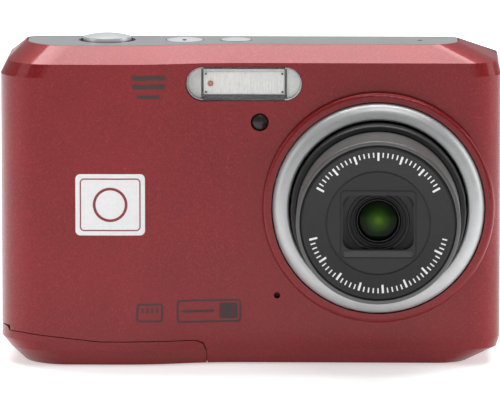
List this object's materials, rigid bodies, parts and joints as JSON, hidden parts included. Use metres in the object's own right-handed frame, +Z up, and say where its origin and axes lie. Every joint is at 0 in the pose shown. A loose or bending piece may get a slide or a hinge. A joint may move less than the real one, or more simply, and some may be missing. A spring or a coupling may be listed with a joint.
{
  "type": "compact digital camera",
  "caption": "Compact digital camera with a telescoping zoom lens, built-in flash, rear display and a battery door that slides and swings.",
  "frame": {"origin": "mouth of the tripod socket, in the middle of the bottom face", "axes": "+X along the camera's width, to the right when facing the lens; the lens looks along -Y; +Z up"},
  "size_m": [0.0926, 0.0473, 0.0606],
  "materials": {
    "case_paint": "red metallic paint under clear coat",
    "rear_plastic": "fine spark texture",
    "top_metal": "satin grey paint",
    "ring_chrome": "polished",
    "barrel_paint": "satin black anodised look",
    "blade_metal": "matte black",
    "inner_plastic": "matte black",
    "lens_glass": "coated",
    "clear_plastic": "ribbed clear plastic",
    "display_glass": "polished",
    "reflector_metal": "polished",
    "tube_glass": "clear",
    "lamp_plastic": "dark clear plastic",
    "button_metal": "satin silver",
    "small_button_metal": "satin silver",
    "key_plastic": "satin",
    "board": "green solder mask",
    "electronic_black": "moulded black",
    "sensor": "dark sensor glass",
    "spring_steel": "stamped",
    "panel": "display module",
    "bay_plastic": "moulded black",
    "cell_jacket": null,
    "socket_brass": "turned"
  },
  "bodies": {
    "root": {"front_cover": "case_paint", "rear_cover": "rear_plastic", "top_plate": "top_metal", "lens_ring": "ring_chrome", "lens_housing": "inner_plastic", "focus_frame": "inner_plastic", "focus_lens": "lens_glass", "infrared_filter": "lens_glass", "flash_window": "clear_plastic", "display_window": "display_glass", "flash_reflector": "reflector_metal", "flash_tube": "tube_glass", "focus_lamp_window": "lamp_plastic", "focus_lamp_led": "lamp_plastic", "top_board": "board", "key_board": "board", "main_board": "board", "top_switches": "electronic_black", "microphone": "electronic_black", "speaker": "electronic_black", "flash_capacitor": "electronic_black", "image_sensor": "sensor", "dome_switches": "spring_steel", "top_contacts": "spring_steel", "card_slot": "spring_steel", "sensor_plate": "spring_steel", "display_frame": "spring_steel", "usb_socket": "spring_steel", "zoom_motor": "spring_steel", "strap_bar": "spring_steel", "case_screws": "spring_steel", "display_panel": "panel", "battery_holder": "bay_plastic", "memory_card": "bay_plastic", "left_cell": "cell_jacket", "right_cell": "cell_jacket", "tripod_socket": "socket_brass"},
    "cam_ring": {"cam_ring": "inner_plastic"},
    "rear_barrel": {"rear_barrel": "barrel_paint"},
    "front_barrel": {"front_barrel": "barrel_paint", "lens_face_plate": "barrel_paint", "lens_holder": "inner_plastic", "front_lens": "lens_glass", "shutter_unit": "inner_plastic"},
    "upper_blade": {"upper_barrier_blade": "blade_metal"},
    "lower_blade": {"lower_barrier_blade": "blade_metal"},
    "shutter_button": {"shutter_button": "button_metal"},
    "power_button": {"power_button": "small_button_metal"},
    "mode_button": {"mode_button": "small_button_metal"},
    "record_button": {"record_button": "key_plastic"},
    "menu_button": {"menu_button": "key_plastic"},
    "play_button": {"play_button": "key_plastic"},
    "delete_button": {"delete_button": "key_plastic"},
    "four_way_pad": {"four_way_pad": "key_plastic"},
    "set_button": {"set_button": "key_plastic"},
    "zoom_rocker": {"zoom_rocker": "key_plastic"},
    "hinge_slider": {"hinge_slider": "spring_steel", "hinge_pin": "spring_steel"},
    "battery_door": {"battery_door": "case_paint", "door_contacts": "spring_steel"}
  },
  "joints": [
    {"name": "rear_barrel_slide", "type": "slide", "parent": "root", "child": "rear_barrel", "axis": [0, 1, 0], "range_m": [-0.0008, 0.0044]},
    {"name": "front_barrel_slide", "type": "slide", "parent": "rear_barrel", "child": "front_barrel", "axis": [0, 1, 0], "range_m": [-0.0022, 0.01191]},
    {"name": "cam_ring_turn", "type": "hinge", "parent": "root", "child": "cam_ring", "pos_m": [0.0237, 0, 0.0296], "axis": [0, 1, 0], "range_deg": [-20.2, 110.2]},
    {"name": "upper_blade_slide", "type": "slide", "parent": "front_barrel", "child": "upper_blade", "axis": [0, 0, -1], "range_m": [0, 0.0054]},
    {"name": "lower_blade_slide", "type": "slide", "parent": "front_barrel", "child": "lower_blade", "axis": [0, 0, 1], "range_m": [0, 0.00541]},
    {"name": "shutter_press", "type": "slide", "parent": "root", "child": "shutter_button", "axis": [0, 0, -1], "range_m": [0, 0.0008], "stiffness_N_per_m": 1200},
    {"name": "power_press", "type": "slide", "parent": "root", "child": "power_button", "axis": [0, 0, -1], "range_m": [0, 0.0004], "stiffness_N_per_m": 2500},
    {"name": "mode_press", "type": "slide", "parent": "root", "child": "mode_button", "axis": [0, 0, -1], "range_m": [0, 0.0004], "stiffness_N_per_m": 2500},
    {"name": "record_press", "type": "slide", "parent": "root", "child": "record_button", "axis": [0, -1, 0], "range_m": [0, 0.00035], "stiffness_N_per_m": 2500},
    {"name": "menu_press", "type": "slide", "parent": "root", "child": "menu_button", "axis": [0, -1, 0], "range_m": [0, 0.00035], "stiffness_N_per_m": 2500},
    {"name": "play_press", "type": "slide", "parent": "root", "child": "play_button", "axis": [0, -1, 0], "range_m": [0, 0.00035], "stiffness_N_per_m": 2500},
    {"name": "delete_press", "type": "slide", "parent": "root", "child": "delete_button", "axis": [0, -1, 0], "range_m": [0, 0.00035], "stiffness_N_per_m": 2500},
    {"name": "four_way_pad_press", "type": "slide", "parent": "root", "child": "four_way_pad", "axis": [0, -1, 0], "range_m": [0, 0.00035], "stiffness_N_per_m": 2500},
    {"name": "set_press", "type": "slide", "parent": "root", "child": "set_button", "axis": [0, -1, 0], "range_m": [0, 0.00035], "stiffness_N_per_m": 2500},
    {"name": "zoom_rocker_tilt", "type": "hinge", "parent": "root", "child": "zoom_rocker", "pos_m": [-0.031, 0.0133, 0.051], "axis": [0, 0, 1], "range_deg": [-4, 4], "stiffness_Nm_per_rad": 0.05},
    {"name": "door_slide", "type": "slide", "parent": "root", "child": "hinge_slider", "axis": [-1, 0, 0], "range_m": [0, 0.003]},
    {"name": "door_hinge", "type": "hinge", "parent": "hinge_slider", "child": "battery_door", "pos_m": [-0.0455, 0.003, 0.0062], "axis": [0, 1, 0], "range_deg": [0, 90]}
  ],
  "couplings": [
    {"joint": "front_barrel_slide", "follows": "rear_barrel_slide", "ratio": 2.7045},
    {"joint": "cam_ring_turn", "follows": "rear_barrel_slide", "rad_per_m": 436.33},
    {"joint": "lower_blade_slide", "follows": "upper_blade_slide", "ratio": 1}
  ]
}
